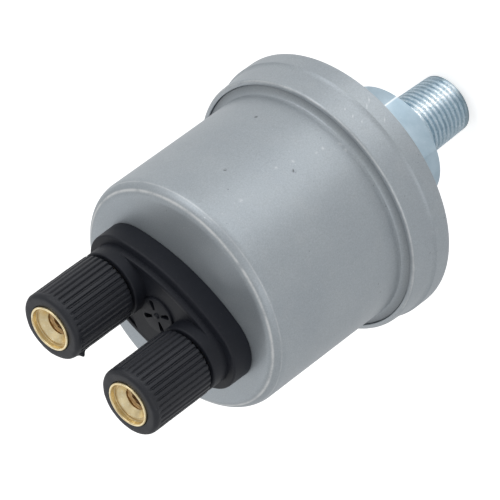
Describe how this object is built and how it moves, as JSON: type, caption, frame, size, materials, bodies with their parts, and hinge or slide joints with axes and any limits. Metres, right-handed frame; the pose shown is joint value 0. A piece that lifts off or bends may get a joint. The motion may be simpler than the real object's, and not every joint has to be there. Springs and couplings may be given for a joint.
{
  "type": "oil pressure sender",
  "caption": "Diaphragm oil pressure sender: drawn steel can rolled into a cup, hexagon with tapered pipe thread, and a black terminal base with two knurled thumb nuts.",
  "frame": {"origin": "on the axis, where the tapered thread meets the hexagon", "axes": "+Z along the axis towards the terminals, away from the pipe thread; +X through the two terminal studs; +Y across them"},
  "size_m": [0.044, 0.044, 0.0788],
  "materials": {
    "zinc_steel": "bluish zinc plating, worn, with whitish streaks",
    "satin_steel": "satin drawn sheet steel, lightly scuffed",
    "spring_steel": "bright spring steel",
    "plated_steel": "plain nickel-like plating",
    "brass": "turned brass, slightly dull",
    "contact_silver": "bright contact metal",
    "brown_moulding": "brown hard insulating moulding",
    "resistance_wire": "fine bare resistance wire, close wound",
    "tinned_wire": "tinned copper",
    "black_moulding": "black moulded plastic, satin, slightly worn",
    "sealing_rubber": "black sealing rubber",
    "sealing_fibre": "grey sealing sheet"
  },
  "bodies": {
    "housing": {"port_fitting": "zinc_steel", "pressure_cup": "satin_steel", "housing_can": "satin_steel", "diaphragm_gasket": "sealing_fibre", "diaphragm": "spring_steel", "mechanism_plate": "plated_steel", "return_spring": "spring_steel", "lever_bracket": "plated_steel", "bracket_rivets": "plated_steel", "pivot_pin": "spring_steel", "card_holder": "brown_moulding", "holder_rivets": "plated_steel", "resistor_card": "brown_moulding", "resistance_winding": "resistance_wire", "contact_insulator": "brown_moulding", "contact_bracket": "brass", "contact_rivets": "brown_moulding", "contact_screw": "contact_silver", "signal_lead": "tinned_wire", "warning_lead": "tinned_wire", "inner_insulator": "brown_moulding", "contact_tag_1": "tinned_wire", "contact_tag_2": "tinned_wire", "stud_1": "plated_steel", "stud_2": "plated_steel", "base_gasket": "sealing_rubber", "terminal_base": "black_moulding", "stud_nut_1": "plated_steel", "stud_nut_2": "plated_steel"},
    "pin": {"push_pin": "spring_steel"},
    "lever": {"wiper_lever": "brass", "wiper_blade": "spring_steel", "wiper_rivet": "contact_silver", "moving_contact": "contact_silver"},
    "nut_1_core": {"nut_insert_1": "brass"},
    "nut_1_grip": {"nut_cap_1": "black_moulding"},
    "nut_2_core": {"nut_insert_2": "brass"},
    "nut_2_grip": {"nut_cap_2": "black_moulding"}
  },
  "joints": [
    {"name": "lever_turn", "type": "hinge", "parent": "housing", "child": "lever", "pos_m": [0.0032, 0, 0.02532], "axis": [0, 1, 0], "range_deg": [0, 28]},
    {"name": "pin_lift", "type": "slide", "parent": "housing", "child": "pin", "axis": [0, 0, 1], "range_m": [0, 0.00155], "stiffness_N_per_m": 10, "springref_m": -0.002, "deforming": ["return_spring"]},
    {"name": "nut_1_rise", "type": "slide", "parent": "housing", "child": "nut_1_core", "axis": [0, 0, 1], "range_m": [0, 0.00699]},
    {"name": "nut_1_turn", "type": "hinge", "parent": "nut_1_core", "child": "nut_1_grip", "pos_m": [-0.0081, 0, 0.06], "axis": [0, 0, 1], "range_deg": [0, 3600]},
    {"name": "nut_2_rise", "type": "slide", "parent": "housing", "child": "nut_2_core", "axis": [0, 0, 1], "range_m": [0, 0.00699]},
    {"name": "nut_2_turn", "type": "hinge", "parent": "nut_2_core", "child": "nut_2_grip", "pos_m": [0.0081, 0, 0.06], "axis": [0, 0, 1], "range_deg": [0, 3600]}
  ],
  "couplings": [
    {"joint": "lever_turn", "follows": "pin_lift", "rad_per_m": 315.63},
    {"joint": "nut_1_turn", "follows": "nut_1_rise", "rad_per_m": 8976},
    {"joint": "nut_2_turn", "follows": "nut_2_rise", "rad_per_m": 8976}
  ]
}
